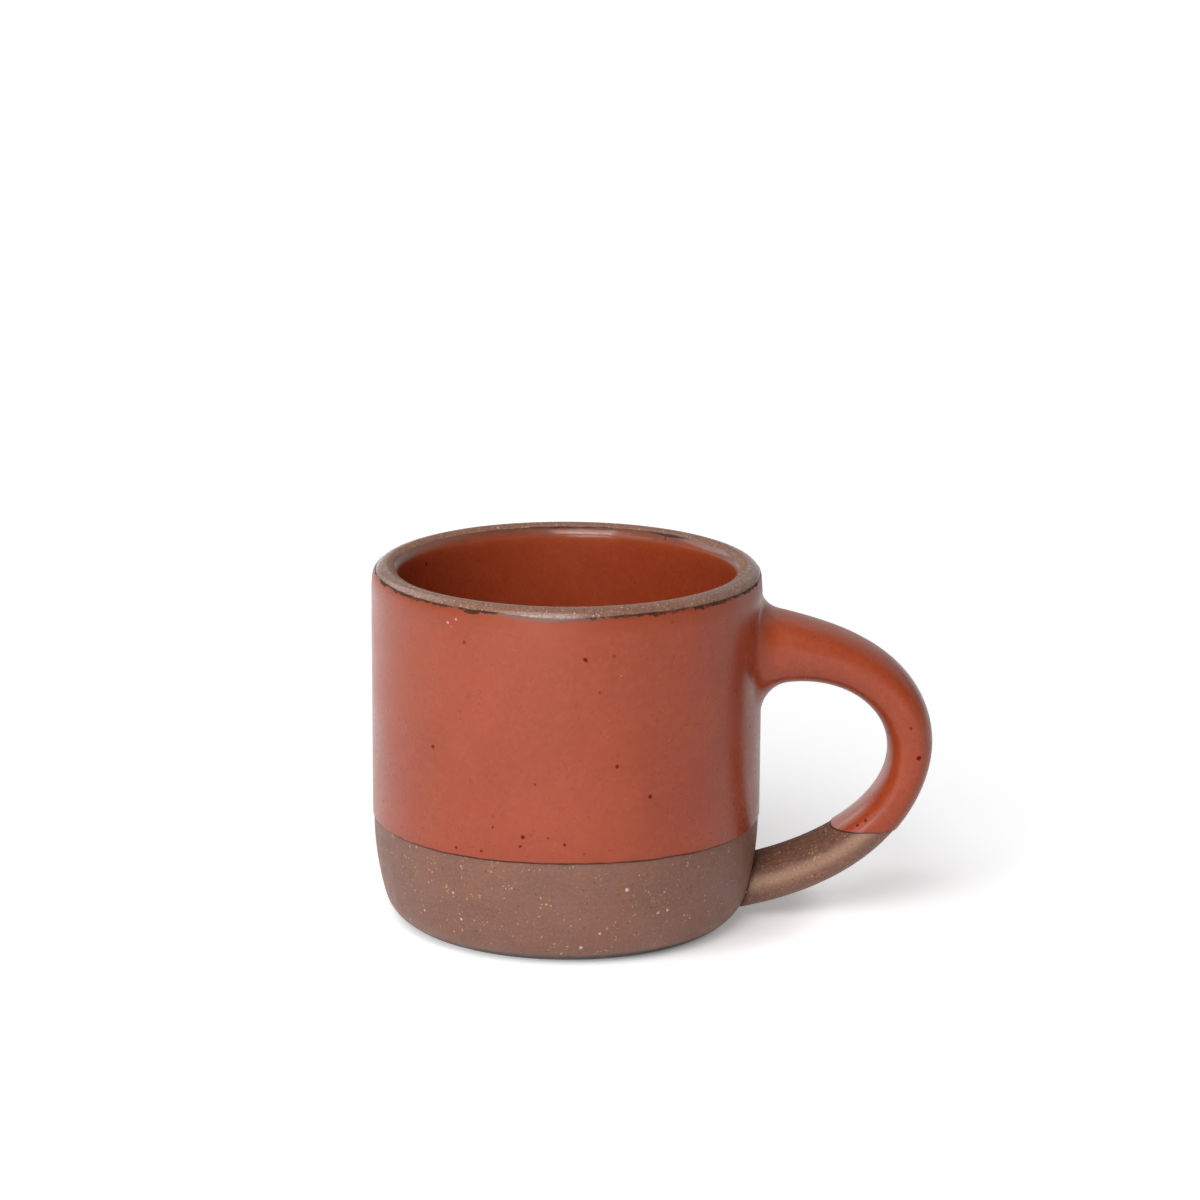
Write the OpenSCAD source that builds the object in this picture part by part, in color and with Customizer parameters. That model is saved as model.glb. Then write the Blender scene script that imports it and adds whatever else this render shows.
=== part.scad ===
// Stoneware mug with a strap handle, in millimetres.
// The origin is the centre of the foot on the standing plane. +Z is up and the handle points along +X.

/* [Cup] */
// Width of the bare clay cup across its wall
cup_w = 88.3; // [76:0.1:104]
// Height of the cup from the standing plane to the rim
cup_h = 83; // [72:0.5:110]
// Thickness of the clay wall
wall = 5.6; // [5:0.1:8]
// Thickness of the clay floor
floor_t = 6; // [4:0.1:9]
// Radius of the corner between the inside wall and the floor
inside_corner = 10; // [4:0.5:16]
// Radius of the outer rounding of the rim
rim_out = 2.9; // [1:0.1:3.5]
// Radius of the inner rounding of the rim
rim_in = 2.5; // [0.5:0.1:3]

/* [Heel and foot] */
// Height at which the wall starts to curve in
belly_top = 24; // [18:0.5:36]
// Radius of the gentle curve of the lower wall
belly_r = 66; // [56:1:120]
// Radius of the rounding between the lower wall and the foot
heel_r = 8.4; // [4:0.1:12]
// Width of the standing ring of the foot
foot_ring = 5.5; // [3:0.1:9]
// Depth of the hollow inside the standing ring
foot_hollow = 1.2; // [0.6:0.1:2.4]

/* [Handle] */
// Distance of the outer face of the strap from the wall
handle_reach = 39.6; // [32:0.1:50]
// Drop from the rim to the middle of the upper end
handle_drop = 19.5; // [18:0.1:24]
// Height of the middle of the lower end
handle_low = 7.5; // [6.8:0.1:12]
// Rise of the upper end towards the outside, in degrees
upper_tilt = 4.7; // [-10:0.1:15]
// Rise of the lower end towards the outside, in degrees
lower_tilt = 11.4; // [0:0.1:25]
// Fullness of the lower bend against the upper one
bend_ratio = 1.1; // [0.8:0.01:1.3]
// Thickness of the strap near the top
strap_t_top = 9.9; // [7:0.1:14]
// Thickness of the strap at the lower end
strap_t_low = 11.1; // [8:0.1:13]
// Width of the strap near the top
strap_w_top = 19; // [14:0.1:26]
// Width of the strap at the lower end
strap_w_low = 14.8; // [11:0.1:22]
// Thinning of each half of the strap at its lower bend
waist = 0.9; // [0:0.1:1.5]
// Extra half thickness of the strap where it leaves the wall
root_swell = 5.3; // [2:0.1:6.5]
// Extra half width of the strap where it leaves the wall
root_flare = 1; // [0:0.1:3]
// Squareness of the strap section, 2 is an ellipse
square_n = 2.6; // [2:0.1:4]
// Radius of the smoothed fillet above the upper end
fillet_over = 3.8; // [2:0.1:6]
// Radius of the smoothed fillet below the upper end
fillet_under = 5.9; // [3:0.1:9]
// Thickness of the slip that bonds the strap to the wall
slip_t = 0.8; // [0.7:0.05:1.4]

/* [Glaze] */
// Thickness of the glaze coats on the outside
glaze_t = 0.35; // [0.2:0.05:0.6]
// Thickness of the glaze that lines the inside
liner_t = 0.45; // [0.3:0.05:0.8]
// Height of the dip line where the glaze on the wall ends
dip_h = 25.5; // [18:0.1:34]
// Height of the dip line where the glaze on the strap ends
strap_dip_h = 21.7; // [18:0.1:32]
// Drop from the rim to the top of the outer glaze
glaze_drop_out = 1.4; // [0.8:0.1:8]
// Climb of the inner glaze up the inner rounding of the rim, in degrees
liner_climb = 45; // [5:1:60]

/* [Hidden] */

clay = [0.56, 0.43, 0.38];
slip = [0.46, 0.34, 0.29];
glaze = [0.67, 0.32, 0.23];

// Radii and heights that follow from the sizes
cup_r = cup_w / 2;
inside_r = cup_r - wall;
belly_c = [cup_r - belly_r, belly_top];
heel_c = [belly_c.x + sqrt(pow(belly_r - heel_r, 2) - pow(belly_top - heel_r, 2)), heel_r];
heel_turn = atan2(heel_c.y - belly_c.y, heel_c.x - belly_c.x);
corner_c = [inside_r - inside_corner, floor_t + inside_corner];
outer_top = cup_h - glaze_drop_out;
lip_r = min(rim_in, wall - rim_out);
lip_c = [inside_r + lip_r, cup_h - lip_r];
liner_turn = 180 - min(liner_climb, asin(lip_r / (lip_r + liner_t)));
foot_in = heel_c.x - foot_ring;

// Path of the strap in the XZ plane, from the upper end to the lower end
sink = 4.2;
lead = 6;
waist_at = 0.64;
waist_span = 0.17;
end_x = cup_r - sink;
upper_dir = [cos(upper_tilt), sin(upper_tilt)];
lower_dir = [cos(lower_tilt), sin(lower_tilt)] * bend_ratio;
bulge = max([for (k = [0:100]) bow(k / 100)]);
arm = (handle_reach + sink - half_t(0.45)) / bulge;
upper_end = [end_x, cup_h - handle_drop];
lower_end = [end_x, handle_low];
path = [upper_end, upper_end + arm * upper_dir, lower_end + arm * lower_dir, lower_end];
split_h = (upper_end.y + lower_end.y) / 2;

// Places of the sections along the path, closest where the fillet is
wall_t = sink / (3 * arm);
fillet_span = 1.3 * fillet_under / (3 * arm);
steps = concat(
    [for (k = [0:4]) wall_t * k / 5],
    [for (k = [0:9]) wall_t + fillet_span * pow(k / 9, 1.5)],
    [for (k = [1:34]) mix(wall_t + fillet_span, 1, k / 34)]);
sides = 24;
// Least height of the edge of the smoothed fillet
toe = 0.15;

function mix(a, b, t) = a + (b - a) * t;

function bow(t) = 3 * t * (1 - t) * ((1 - t) * upper_dir.x + t * lower_dir.x);

function arc(c, r, from, to, n) =
    [for (k = [0:n]) c + r * [cos(mix(from, to, k / n)), sin(mix(from, to, k / n))]];

// Outside of the cup from the foot to the rim, moved out by grow
function outline(grow) = concat(
    [[0, -grow]],
    arc(heel_c, heel_r + grow, -90, heel_turn, 8),
    arc(belly_c, belly_r + grow, heel_turn * 0.9, 0, 9),
    arc([cup_r - rim_out, cup_h - rim_out], rim_out + grow, 0, 90, 8),
    [[0, cup_h + grow]]);

// Inside of the cup, open past the rim
function inside() = concat(
    [[0, floor_t]],
    arc(corner_c, inside_corner, -90, 0, 8),
    arc(lip_c, lip_r, 180, 90, 8),
    [[lip_c.x, cup_h + 1], [0, cup_h + 1]]);

function path_at(t) =
    pow(1 - t, 3) * path[0] + 3 * t * pow(1 - t, 2) * path[1]
    + 3 * t * t * (1 - t) * path[2] + pow(t, 3) * path[3];

function unit(v) = v / norm(v);

function path_dir(t) = unit(
    pow(1 - t, 2) * (path[1] - path[0]) + 2 * t * (1 - t) * (path[2] - path[1])
    + t * t * (path[3] - path[2]));

function half_t(t) = mix(strap_t_top, strap_t_low, t) / 2 + root_swell * pow(1 - t, 10)
    - waist * exp(-pow((t - waist_at) / waist_span, 2));

function half_w(t) = mix(strap_w_top, strap_w_low, t) / 2 + root_flare * pow(1 - t, 10);

// Height of a hollow fillet of radius r at the distance d from the wall
function fillet(d, r) =
    let (k = 1 - min(1, max(d, toe) / r))
    r * (1 - sqrt(1 - k * k));

function rounded(c) = sign(c) * pow(abs(c), 2 / square_n);

// One section of the strap at the point p of the path, moved out by grow
function section(p, t, grow) =
    let (dir = path_dir(t), n = [-dir.y, dir.x], a = half_t(t) + grow, b = half_w(t) + grow)
    [for (k = [0:sides - 1])
        let (q = 360 * k / sides,
             y = b * rounded(cos(q)),
             v = a * rounded(sin(q)),
             d = norm([p.x + n.x * v, y]) - cup_r - grow,
             r = mix(fillet_under, fillet_over, (1 + sin(q)) / 2) + glaze_t - grow,
             e = t < 0.5 ? fillet(d, r) : 0,
             h = v + e * sin(q))
        [p.x + n.x * h, y + e * cos(q), p.y + n.y * h]];

// Sections of the strap down to the height low, running on into the wall at the upper end
function rows(grow, low) = concat(
    [section(path_at(0) - lead * path_dir(0), 0, grow)],
    [for (t = steps) if (path_at(t).y > low) section(path_at(t), t, grow)]);

// Faces that join count sections, whose points start at from
function wrap(from, count, inward) = [for (j = [0:count - 2], k = [0:sides - 1])
    let (m = (k + 1) % sides, a = from + j * sides, b = a + sides)
    each inward ? [[a + m, b + k, a + k], [b + m, b + k, a + m]]
                : [[a + k, b + k, a + m], [a + m, b + k, b + m]]];

// Faces of the ring between an outer section at a and an inner section at b
function ring(a, b) = [for (k = [0:sides - 1])
    let (m = (k + 1) % sides)
    each [[a + k, a + m, b + m], [a + k, b + m, b + k]]];

// The whole strap, running on into the wall at both ends
module strap() {
    all = concat(rows(0, -cup_h), [section(path_at(1) + lead * path_dir(1), 1, 0)]);
    last = (len(all) - 1) * sides;
    polyhedron(points = [for (row = all) each row], faces = concat(
        wrap(0, len(all), false),
        [[for (k = [0:sides - 1]) k]],
        [[for (k = [sides - 1:-1:0]) last + k]]));
}

// The coat around the strap, to below the dip line
module strap_coat() {
    low = strap_dip_h - strap_t_top;
    outer = rows(glaze_t, low);
    inner = rows(0, low);
    count = len(outer);
    from = count * sides;
    last = (count - 1) * sides;
    polyhedron(points = [for (row = concat(outer, inner)) each row], faces = concat(
        wrap(0, count, false),
        wrap(from, count, true),
        ring(0, from),
        ring(from + last, last)));
}

module cup_solid(grow) {
    rotate_extrude() polygon(outline(grow));
}

// A coat of thickness t on the outside of the cup between two heights
module coat(t, low, high) {
    rotate_extrude() intersection() {
        difference() {
            polygon(outline(t));
            polygon(outline(0));
        }
        translate([0, low]) square([cup_r + 2 * t, high - low]);
    }
}

module cup_body() {
    color(clay) rotate_extrude() difference() {
        polygon(outline(0));
        polygon(inside());
        polygon([[0, -1], [foot_in, -1], [foot_in, 0],
            [foot_in - foot_hollow, foot_hollow], [0, foot_hollow]]);
    }
}

module handle() {
    color(clay) difference() {
        strap();
        cup_solid(slip_t);
    }
}

module upper_slip_joint() {
    color(slip) intersection() {
        strap();
        coat(slip_t, split_h, cup_h);
    }
}

module lower_slip_joint() {
    color(slip) intersection() {
        strap();
        coat(slip_t, 0, split_h);
    }
}

module outer_glaze() {
    color(glaze) difference() {
        coat(glaze_t, dip_h, outer_top);
        strap();
    }
}

module inner_glaze() {
    color(glaze) rotate_extrude() polygon(concat(
        [[0, floor_t]],
        arc(corner_c, inside_corner, -90, 0, 8),
        arc(lip_c, lip_r, 180, liner_turn, 5),
        arc(lip_c, lip_r + liner_t, liner_turn, 180, 5),
        arc(corner_c, inside_corner - liner_t, 0, -90, 8),
        [[0, floor_t + liner_t]]));
}

module handle_glaze() {
    color(glaze) difference() {
        strap_coat();
        cup_solid(glaze_t);
        translate([0, -cup_r, strap_dip_h - cup_h]) cube([cup_w + handle_reach, cup_w, cup_h]);
    }
}

cup_body();
handle();
upper_slip_joint();
lower_slip_joint();
outer_glaze();
inner_glaze();
handle_glaze();
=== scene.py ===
"""Looks of a stoneware mug, in the frame's metres: bare clay, a satin glaze and a pulled strap handle."""
import math

import bpy
import numpy as np
from mathutils import Matrix, Vector


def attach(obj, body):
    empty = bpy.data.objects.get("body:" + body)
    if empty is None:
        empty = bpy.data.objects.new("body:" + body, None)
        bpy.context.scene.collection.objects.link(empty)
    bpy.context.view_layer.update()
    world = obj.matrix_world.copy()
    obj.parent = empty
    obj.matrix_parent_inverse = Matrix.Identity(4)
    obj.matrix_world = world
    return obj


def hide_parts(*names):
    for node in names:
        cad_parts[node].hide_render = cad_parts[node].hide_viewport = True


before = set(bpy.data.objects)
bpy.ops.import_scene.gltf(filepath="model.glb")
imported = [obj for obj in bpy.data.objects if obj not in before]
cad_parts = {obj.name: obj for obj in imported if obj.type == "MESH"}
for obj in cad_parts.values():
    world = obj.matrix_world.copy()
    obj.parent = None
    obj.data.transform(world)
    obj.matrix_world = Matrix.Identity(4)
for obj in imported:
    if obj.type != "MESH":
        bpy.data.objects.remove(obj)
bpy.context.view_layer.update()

# Sizes of the part's source, in millimetres
CUP_R, CUP_H, WALL, FLOOR_T, INSIDE_CORNER = 44.15, 83.0, 5.6, 6.0, 10.0
RIM_OUT, RIM_IN = 2.9, 2.5
BELLY_TOP, BELLY_R, HEEL_R, FOOT_RING, FOOT_HOLLOW = 24.0, 66.0, 8.4, 5.5, 1.2
HANDLE_REACH, HANDLE_DROP, HANDLE_LOW = 39.6, 19.5, 7.5
UPPER_TILT, LOWER_TILT, BEND_RATIO = 4.7, 11.4, 1.1
STRAP_T_TOP, STRAP_T_LOW, STRAP_W_TOP, STRAP_W_LOW = 9.9, 11.1, 19.0, 14.8
ROOT_SWELL, ROOT_FLARE, SWELL_POWER, WAIST, WAIST_AT, WAIST_SPAN = 5.3, 1.0, 10, 0.9, 0.64, 0.17
SQUARE_N, FILLET_OVER, FILLET_UNDER = 2.6, 3.8, 5.9
SLIP_T, GLAZE_T, LINER_T, DIP_H, STRAP_DIP_H, DROP_OUT = 0.8, 0.35, 0.45, 25.5, 21.7, 1.4
SINK = 4.2
INSIDE_R = CUP_R - WALL
# The part's round faces are cut into flats, so the coat is drawn a little thinner to stay inside them
COAT = GLAZE_T - 0.035

MM = 0.001
# Points round the cup and round the strap
COLS, SIDES = 360, 96
# Edges that turn by more than this many degrees stay sharp
SHARP = 42
# Stands for no edge nearby, in millimetres
FAR = 99.0
# Millimetres: depth of a coat's hidden back in the clay, and the radius at which a skin ends near the axis
UNDER, CENTRE = 0.03, 0.4
# Mean square of one wave of random size
WAVE_POWER = 0.29


# Small helpers for numbers
def smooth(x, low, high):
    """0 at low and 1 at high, with a soft start and end."""
    t = np.clip((np.asarray(x, float) - low) / (high - low), 0, 1)
    return t * t * (3 - 2 * t)


def quarter_round(gap, reach):
    """0 at an edge, rising along a quarter circle to 1 at reach away from it."""
    return np.sqrt(1 - (1 - np.clip(gap / reach, 0, 1)) ** 2)


def unit(v):
    return v / np.linalg.norm(v, axis=-1, keepdims=True)


def waves(angle, seed, low, high, fade):
    """A repeating random line round the cup, about -1 to 1, made of low to high waves a turn."""
    rng = np.random.default_rng(seed)
    total = np.zeros_like(angle)
    power = 0.0
    for n in range(low, high + 1):
        size = n ** -fade
        total += size * np.sin(n * angle + rng.uniform(0, 2 * math.pi)) * rng.uniform(0.5, 1)
        power += size * size * WAVE_POWER
    return total / (2 * math.sqrt(power))


def wander(angle, parts):
    """A sum of random lines, each given by its size and by its seed, fewest and most waves, and fade."""
    return sum(size * waves(angle, *how) for size, *how in parts)


def arc(cx, cz, r, start, stop, n):
    """Points of an arc from one angle to another, in degrees."""
    a = np.radians(np.linspace(start, stop, n))
    return np.stack([cx + r * np.cos(a), cz + r * np.sin(a)], 1)


def line(x0, z0, x1, z1, n):
    """Points along a straight line, without its ends."""
    t = np.linspace(0, 1, n + 2)[1:-1, None]
    return np.array([[x0, z0]]) * (1 - t) + np.array([[x1, z1]]) * t


# Meshes from grids of points
def grid(name, rows, material, loop=False, data=None):
    """A closed skin over rows of points that run round: joined end to end, or with a point at each end.

    Each entry of data gives the mesh a value at every point, for its material.
    """
    rows = np.asarray(rows, float)
    count, cols = rows.shape[:2]
    verts = rows.reshape(-1, 3)
    a = np.arange(count if loop else count - 1)[:, None] * cols
    b = (a + cols) % (count * cols)
    k = np.arange(cols)[None, :]
    m = (k + 1) % cols
    faces = np.stack([a + k, a + m, b + m, b + k], -1).reshape(-1, 4).tolist()
    values = {key: np.asarray(v, float).reshape(-1) for key, v in (data or {}).items()}
    if not loop:
        first, last = rows[0].mean(0), rows[-1].mean(0)
        verts = np.vstack([verts, first, last])
        low, high = count * cols, count * cols + 1
        base = (count - 1) * cols
        faces += [[low, (j + 1) % cols, j] for j in range(cols)]
        faces += [[high, base + j, base + (j + 1) % cols] for j in range(cols)]
        values = {key: np.r_[v, v[:cols].mean(), v[-cols:].mean()] for key, v in values.items()}
    mesh = bpy.data.meshes.new(name)
    mesh.from_pydata((verts * MM).tolist(), [], faces)
    for key, v in values.items():
        mesh.attributes.new(key, "FLOAT", "POINT").data.foreach_set("value", v.astype(np.float32))
    mesh.update()
    mesh.shade_smooth()
    mesh.set_sharp_from_angle(angle=math.radians(SHARP))
    mesh.materials.append(material)
    piece = bpy.data.objects.new(name, mesh)
    bpy.context.scene.collection.objects.link(piece)
    return piece


def turn(r, z, angle):
    """Points at the radius r and the height z, for each angle round the cup."""
    return np.stack([r * np.cos(angle), r * np.sin(angle), z + 0 * angle], -1)


ANGLE = np.linspace(0, 2 * math.pi, COLS, endpoint=False)


def near_angle(degrees, spread):
    """1 at an angle round the cup, in degrees from the handle, and 0 away from it."""
    off = (ANGLE - math.radians(degrees) + math.pi) % (2 * math.pi) - math.pi
    return np.exp(-(off / math.radians(spread)) ** 2)


def bulges(parts):
    """A sum of soft bulges round the cup, each with its size and, in degrees, its angle and its spread."""
    return sum(size * near_angle(degrees, spread) for size, degrees, spread in parts)


# The cup's outline, with the number of points of its large and of its small roundings
LARGE_ARC, CORNER_ARC, LIP_ARC = 40, 36, 24
BELLY_C = (CUP_R - BELLY_R, BELLY_TOP)
HEEL_X = BELLY_C[0] + math.sqrt((BELLY_R - HEEL_R) ** 2 - (BELLY_TOP - HEEL_R) ** 2)
HEEL_TURN = math.degrees(math.atan2(HEEL_R - BELLY_TOP, HEEL_X - BELLY_C[0]))
CORNER_X = INSIDE_R - INSIDE_CORNER
FOOT_IN = HEEL_X - FOOT_RING

outside = np.vstack([
    arc(HEEL_X, HEEL_R, HEEL_R, -90, HEEL_TURN, LARGE_ARC),
    arc(*BELLY_C, BELLY_R, HEEL_TURN, 0, LARGE_ARC)[1:],
    line(CUP_R, BELLY_TOP, CUP_R, CUP_H - RIM_OUT, 14),
    arc(CUP_R - RIM_OUT, CUP_H - RIM_OUT, RIM_OUT, 0, 90, LARGE_ARC)])
inside = np.vstack([
    [[0.0, FLOOR_T]],
    line(0, FLOOR_T, CORNER_X, FLOOR_T, 10),
    arc(CORNER_X, FLOOR_T + INSIDE_CORNER, INSIDE_CORNER, -90, 0, CORNER_ARC),
    line(INSIDE_R, FLOOR_T + INSIDE_CORNER, INSIDE_R, CUP_H - RIM_IN, 16),
    arc(INSIDE_R + RIM_IN, CUP_H - RIM_IN, RIM_IN, 180, 90, LIP_ARC)])


class Track:
    """A polyline that gives its point and its right-hand normal at a length along it."""

    def __init__(self, points):
        step = np.diff(points, axis=0)
        self.s = np.r_[0, np.cumsum(np.hypot(*step.T))]
        self.p = points
        tangent = np.gradient(points, self.s, axis=0)
        tangent /= np.hypot(*tangent.T)[:, None]
        self.n = np.stack([tangent[:, 1], -tangent[:, 0]], 1)

    def at(self, s, lift):
        """Radius and height at the lengths s, lifted off along the normal."""
        r, z, nr, nz = (np.interp(s, self.s, v) for v in (*self.p.T, *self.n.T))
        return r + nr * lift, z + nz * lift

    def find(self, z):
        """Length at which a line that rises all the way passes the height z."""
        return float(np.interp(z, self.p[:, 1], self.s))


def outline_r(z, grow):
    """Radius of the outside of the cup at the height z, moved out by grow."""
    heel = HEEL_X + np.sqrt(np.maximum((HEEL_R + grow) ** 2 - (z - HEEL_R) ** 2, 0))
    belly = BELLY_C[0] + np.sqrt((BELLY_R + grow) ** 2 - (z - BELLY_TOP) ** 2)
    turn_z = HEEL_R + (HEEL_R + grow) * math.sin(math.radians(HEEL_TURN))
    return np.where(z < turn_z, heel, np.where(z < BELLY_TOP, belly, CUP_R + grow))


# Nodes of materials
class Nodes:
    """Short names for making and joining the nodes of a tree."""

    def __init__(self, tree):
        self.tree = tree

    def node(self, kind, **settings):
        n = self.tree.nodes.new(kind)
        for key, value in settings.items():
            setattr(n, key, value)
        return n

    def put(self, socket, value):
        """Joins another node's output to a socket, or sets the socket to a plain value."""
        if hasattr(value, "links"):
            self.tree.links.new(value, socket)
        else:
            socket.default_value = value

    def math(self, op, a, b=0.0, c=0.0, clamp=False):
        n = self.node("ShaderNodeMath", operation=op, use_clamp=clamp)
        for socket, value in zip(n.inputs, (a, b, c)):
            self.put(socket, value)
        return n.outputs[0]

    def span(self, value, low, high, to_low=0.0, to_high=1.0, soft=True):
        """A value remapped from one range to another and held inside it."""
        n = self.node("ShaderNodeMapRange", clamp=True)
        n.interpolation_type = "SMOOTHSTEP" if soft else "LINEAR"
        names = ("Value", "From Min", "From Max", "To Min", "To Max")
        for key, v in zip(names, (value, low, high, to_low, to_high)):
            self.put(n.inputs[key], v)
        return n.outputs["Result"]

    def axes(self, place):
        """The X, Y and Z of a place, by name."""
        n = self.node("ShaderNodeSeparateXYZ")
        self.put(n.inputs[0], place)
        return n.outputs

    def distance(self, place, spot):
        n = self.node("ShaderNodeVectorMath", operation="DISTANCE")
        self.put(n.inputs[0], place)
        n.inputs[1].default_value = spot
        return n.outputs["Value"]


# How far the outlines of specks are moved about, and the size of the noise that does it, in millimetres
SHAKE, SHAKE_SIZE = 0.26, 0.38
# Share of the cells that hold a speck
SPECK_SHARE = 0.6
# Specks that stand out, each with its place and its radius in millimetres
IRON_MARKS = (
    (4.1, -44.3, 71.9, 0.62), (-9.5, -43.4, 31.3, 0.58), (18.5, -40.4, 39.8, 0.54),
    (-29.5, -33.2, 49.0, 0.52), (11.1, -43.0, 47.4, 0.50), (-24.4, -37.2, 26.9, 0.42),
    (-10.1, -43.3, 29.1, 0.42), (-0.3, -44.4, 29.9, 0.42), (-18.7, -40.3, 27.1, 0.40),
    (7.2, -43.9, 64.4, 0.32), (-16.2, -41.4, 32.9, 0.32), (-6.8, -43.9, 43.5, 0.32),
    (80.3, -8.6, 39.5, 0.72), (68.5, -7.5, 24.3, 0.48), (78.3, -8.9, 46.6, 0.38), (66.7, -7.2, 23.1, 0.38))
PALE_MARKS = ((-24.3, -37.2, 79.1, 0.38), (-26.1, -36.0, 78.1, 0.38))
GROG_MARKS = (
    (13.5, -41.8, 18.7, 0.50), (3.4, -41.1, 4.9, 0.46), (20.5, -37.9, 12.1, 0.42),
    (-23.3, -35.6, 9.7, 0.36), (22.6, -36.7, 12.3, 0.34), (-25.1, -35.7, 15.9, 0.32),
    (7.5, -41.6, 8.4, 0.36))


class Shader(Nodes):
    """A material under construction, with the patterns that glaze and clay need."""

    def __init__(self, name):
        self.mat = bpy.data.materials.new(name)
        self.mat.use_nodes = True
        super().__init__(self.mat.node_tree)
        self.tree.nodes.clear()
        out = self.node("ShaderNodeOutputMaterial")
        self.bsdf = self.node("ShaderNodeBsdfPrincipled")
        self.put(out.inputs["Surface"], self.bsdf.outputs["BSDF"])
        self.place = self.node("ShaderNodeTexCoord").outputs["Object"]
        self.shake = None

    def stretch(self, x, y, z):
        """The object's coordinates, scaled along each axis."""
        n = self.node("ShaderNodeMapping")
        self.put(n.inputs["Vector"], self.place)
        n.inputs["Scale"].default_value = (x, y, z)
        return n.outputs["Vector"]

    def noise(self, size, detail=3.0, rough=0.5, warp=0.0, place=None):
        """Noise whose features are about size millimetres."""
        n = self.node("ShaderNodeTexNoise")
        self.put(n.inputs["Vector"], place or self.place)
        n.inputs["Scale"].default_value = 1 / (size * MM)
        n.inputs["Detail"].default_value = detail
        n.inputs["Roughness"].default_value = rough
        n.inputs["Distortion"].default_value = warp
        return n.outputs["Fac"]

    def shaken(self):
        """The object's coordinates moved about a little, which roughens the outline of small marks."""
        if self.shake is None:
            n = self.node("ShaderNodeTexNoise")
            self.put(n.inputs["Vector"], self.place)
            n.inputs["Scale"].default_value = 1 / (SHAKE_SIZE * MM)
            n.inputs["Detail"].default_value = 2.0
            move = self.node("ShaderNodeVectorMath", operation="MULTIPLY_ADD")
            self.put(move.inputs[0], n.outputs["Color"])
            move.inputs[1].default_value = (2 * SHAKE * MM,) * 3
            self.put(move.inputs[2], self.place)
            self.shake = move.outputs[0]
        return self.shake

    def cells(self, size):
        """Distance from scattered points about size millimetres apart, and three random values for each."""
        n = self.node("ShaderNodeTexVoronoi")
        self.put(n.inputs["Vector"], self.shaken())
        n.inputs["Scale"].default_value = 1 / (size * MM)
        parts = self.node("ShaderNodeSeparateColor")
        self.put(parts.inputs[0], n.outputs["Color"])
        return n.outputs["Distance"], list(parts.outputs)

    def specks(self, count, small, large, soft=0.35):
        """A mask of round specks: about count in a square centimetre, with radii from small to large.

        They are balls scattered in space, and a face shows those that it cuts. Some are faint.
        """
        size = (SPECK_SHARE * (small + large) * 100 / count) ** (1 / 3)
        distance, (for_radius, for_keeping, for_strength) = self.cells(size)
        radius = self.span(for_radius, 0, 1, small / size, large / size, soft=False)
        disc = self.span(self.math("DIVIDE", distance, radius), 1.0, 1.0 - soft)
        disc = self.math("MULTIPLY", disc, self.span(for_strength, 0, 1, 0.4, 1.0, soft=False))
        return self.math("MULTIPLY", disc, self.math("LESS_THAN", for_keeping, SPECK_SHARE))

    def marks(self, spots, soft=0.3):
        """A mask of single specks, each at a place and with a radius in millimetres."""
        total = 0.0
        for *place, radius in spots:
            away = self.distance(self.shaken(), [(v + SHAKE) * MM for v in place])
            disc = self.span(away, radius * MM, (1 - soft) * radius * MM)
            total = self.math("MAXIMUM", total, disc)
        return total

    def gap(self, name):
        """A length in millimetres, or a share, kept by the mesh at each point, and 0 if it keeps none."""
        return self.node("ShaderNodeAttribute", attribute_name=name).outputs["Fac"]

    def mix(self, share, a, b):
        """One colour blended into another, through the colour sockets of the node."""
        n = self.node("ShaderNodeMix", data_type="RGBA", blend_type="MIX")
        n.clamp_factor = True
        self.put(n.inputs["Factor"], share)
        self.put(n.inputs[6], a if hasattr(a, "links") else (*a, 1.0))
        self.put(n.inputs[7], b if hasattr(b, "links") else (*b, 1.0))
        return n.outputs[2]

    def tint(self, mask, share, under, colour):
        """A colour laid over another where a mask is, at most by share."""
        return self.mix(self.math("MULTIPLY", mask, share), under, colour)

    def bump(self, height, strength, depth, under=None):
        """A normal that shows height as relief, depth millimetres deep, on top of another."""
        n = self.node("ShaderNodeBump")
        n.inputs["Strength"].default_value = strength
        n.inputs["Distance"].default_value = depth * MM
        self.put(n.inputs["Height"], height)
        if under is not None:
            self.put(n.inputs["Normal"], under)
        return n.outputs["Normal"]

    def finish(self, colour, roughness, normal, ior, metal=0.0):
        self.put(self.bsdf.inputs["Base Color"], colour)
        self.put(self.bsdf.inputs["Metallic"], metal)
        self.put(self.bsdf.inputs["Roughness"], roughness)
        self.put(self.bsdf.inputs["Normal"], normal)
        self.bsdf.inputs["IOR"].default_value = ior
        return self.mat


# Colours of the glaze, of what lies in it and of its thin edges; the edge at the dip line is partly painted
# shade, and a pale painted reflection of the floor goes on the strap's inner face
TONE, WARM, DEEP = (0.422, 0.064, 0.0205), (0.482, 0.097, 0.0290), (0.362, 0.050, 0.0165)
RIM_TONE, CLAY_SHOWN, FLOOR_REFLECTION = (0.330, 0.050, 0.009), (0.150, 0.068, 0.045), (0.56, 0.27, 0.21)
IRON_DUST, IRON_SPOT, IRON_SPECK = (0.170, 0.020, 0.007), (0.135, 0.010, 0.003), (0.190, 0.014, 0.004)
PALE_DOT, RIM_LINE, DIP_LINE_AND_SHADE = (0.80, 0.46, 0.30), (0.036, 0.010, 0.004), (0.040, 0.013, 0.007)
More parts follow.
